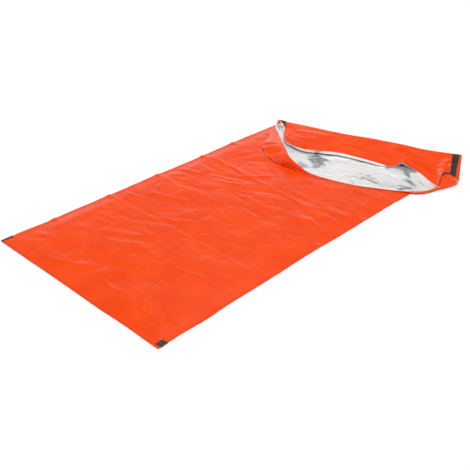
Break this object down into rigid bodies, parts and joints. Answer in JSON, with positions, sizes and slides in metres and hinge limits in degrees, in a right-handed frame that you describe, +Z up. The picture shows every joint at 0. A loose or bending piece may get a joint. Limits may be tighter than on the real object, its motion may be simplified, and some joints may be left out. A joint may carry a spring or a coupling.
{
  "type": "bivy sack",
  "caption": "Flat emergency bivy sack of orange film with a silver lining, its head end folded back over the bag and the mouth pulled open, with black closure tapes and corner patches.",
  "frame": {"origin": "on the ground, on the bag's centre line, 880 mm from the foot edge", "axes": "+X across the bag, +Y along it towards the head, +Z up"},
  "size_m": [1.1231, 1.8553, 0.1299],
  "materials": {
    "orange_film": "glossy polyethylene film, orange",
    "silver_film": "aluminised film, mirror-like and crinkled",
    "orange_weld": "heat-welded margin of the same orange film",
    "black_tape": "woven black hook-and-loop tape"
  },
  "bodies": {
    "bag": {"back_panel_shell": "orange_film", "back_panel_liner": "silver_film", "front_panel_shell": "orange_film", "front_panel_liner": "silver_film", "left_side_weld": "orange_weld", "right_side_weld": "orange_weld", "foot_weld": "orange_weld", "foot_patch_left": "black_tape", "foot_patch_right": "black_tape"},
    "head_rise": {"head_rise_shell": "orange_film", "head_rise_liner": "silver_film"},
    "head_band": {"head_band_shell": "orange_film", "head_band_liner": "silver_film", "hook_strip_left": "black_tape", "hook_strip_right": "black_tape"},
    "mouth_lip": {"mouth_lip_shell": "orange_film", "mouth_lip_liner": "silver_film", "loop_strip_left": "black_tape", "loop_strip_right": "black_tape"}
  },
  "joints": [
    {"name": "head_unfold", "type": "hinge", "parent": "bag", "child": "head_rise", "pos_m": [0, 0.904, 0.0005], "axis": [-0.9983, -0.0576, 0], "range_deg": [0, 70]},
    {"name": "crest_unfold", "type": "hinge", "parent": "head_rise", "child": "head_band", "pos_m": [0.59686, 0.97569, 0.13027], "axis": [-0.9924, -0.0832, -0.0905], "range_deg": [0, 108.5]},
    {"name": "lip_unfold", "type": "hinge", "parent": "bag", "child": "mouth_lip", "pos_m": [0.00201, 0.86906, 0.0103], "axis": [-0.9983, -0.0576, 0], "range_deg": [0, 168]}
  ],
  "couplings": [
    {"joint": "crest_unfold", "follows": "head_unfold", "ratio": 1.55},
    {"joint": "lip_unfold", "follows": "head_unfold", "ratio": 2.4}
  ]
}
